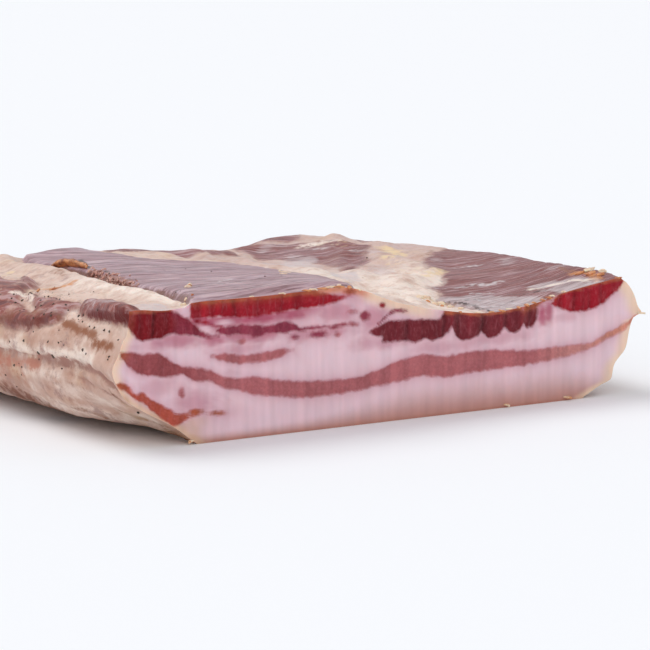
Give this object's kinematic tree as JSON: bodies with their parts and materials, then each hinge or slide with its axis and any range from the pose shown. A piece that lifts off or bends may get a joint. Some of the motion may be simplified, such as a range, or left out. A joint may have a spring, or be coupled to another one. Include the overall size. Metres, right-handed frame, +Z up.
{
  "type": "flat pancetta slab",
  "caption": "Thick slab of flat cured pork belly with a fresh cut face across its streaks of lean and fat, for food and kitchen scenes.",
  "frame": {"origin": "middle of the slab's bounding box, on the flat underside that it rests on", "axes": "+X along the cut face from its left to its right end, +Y from the cut face into the slab, +Z up"},
  "size_m": [0.245, 0.2, 0.0543],
  "materials": {
    "cured_meat": "satin"
  },
  "bodies": {
    "root": {"pancetta_slab": "cured_meat"}
  },
  "joints": []
}
